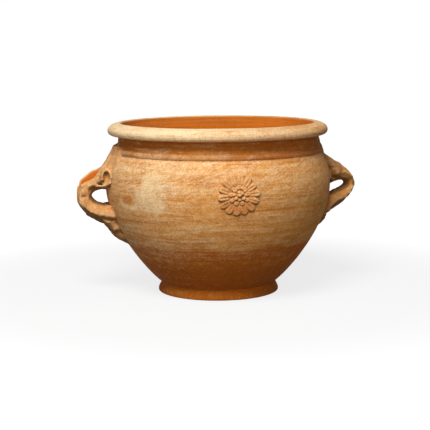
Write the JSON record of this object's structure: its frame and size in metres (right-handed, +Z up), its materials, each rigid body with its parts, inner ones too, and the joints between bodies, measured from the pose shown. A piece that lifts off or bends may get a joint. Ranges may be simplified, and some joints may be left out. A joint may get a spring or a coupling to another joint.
{
  "type": "terracotta planter",
  "caption": "Round-bellied terracotta garden pot with a flared foot, waisted neck, rolled rim, two channelled strap handles and a pressed rosette on the front.",
  "frame": {"origin": "centre of the circle that the foot stands on", "axes": "+Z up; the rosette faces -Y; the two handles lie along X, the left one at -X"},
  "size_m": [0.5669, 0.4579, 0.34],
  "materials": {
    "terracotta": "unglazed, matte, with pale lime bloom"
  },
  "bodies": {
    "root": {"base_slab": "terracotta", "foot_ring": "terracotta", "bowl_wall": "terracotta", "shoulder_wall": "terracotta", "neck_collar": "terracotta", "neck_cordon": "terracotta", "rim_roll": "terracotta", "strap_left": "terracotta", "strap_right": "terracotta", "upper_root_left": "terracotta", "upper_root_right": "terracotta", "lower_root_left": "terracotta", "lower_root_right": "terracotta", "rosette_sprig": "terracotta", "rosette_button": "terracotta"}
  },
  "joints": []
}
